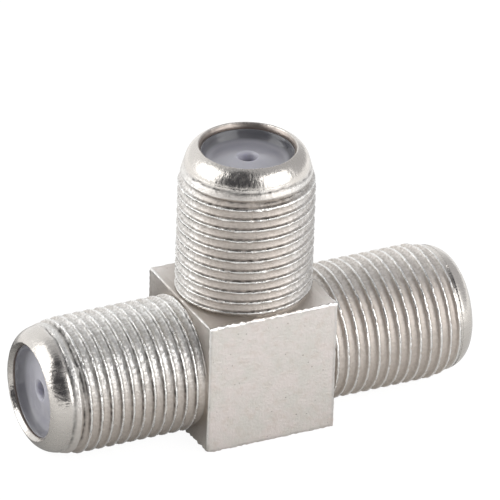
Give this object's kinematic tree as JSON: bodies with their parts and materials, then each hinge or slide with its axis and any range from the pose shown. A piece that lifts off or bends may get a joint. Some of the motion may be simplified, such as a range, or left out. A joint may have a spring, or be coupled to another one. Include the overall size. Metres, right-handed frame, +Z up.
{
  "type": "coaxial splitter",
  "caption": "Coaxial tee: a small plated cube with threaded F sockets to the left, to the right and on top, each with a countersunk insulator behind a rolled lip.",
  "frame": {"origin": "centre of the block's flat underside, straight below the point where the three port axes cross", "axes": "+X along the straight run out of the right port, +Z up and out of the branch port, +Y away from the viewer"},
  "size_m": [0.0322, 0.0096, 0.0205],
  "materials": {
    "nickel_plated_zinc": "satin nickel plating over a zinc casting",
    "moulded_polyethylene": "smooth moulded plastic, slightly translucent grey",
    "tinned_brass": "turned brass, tin plated"
  },
  "bodies": {
    "root": {"body": "nickel_plated_zinc", "left_insulator": "moulded_polyethylene", "right_insulator": "moulded_polyethylene", "top_insulator": "moulded_polyethylene", "run_contact": "tinned_brass", "branch_contact": "tinned_brass"}
  },
  "joints": []
}
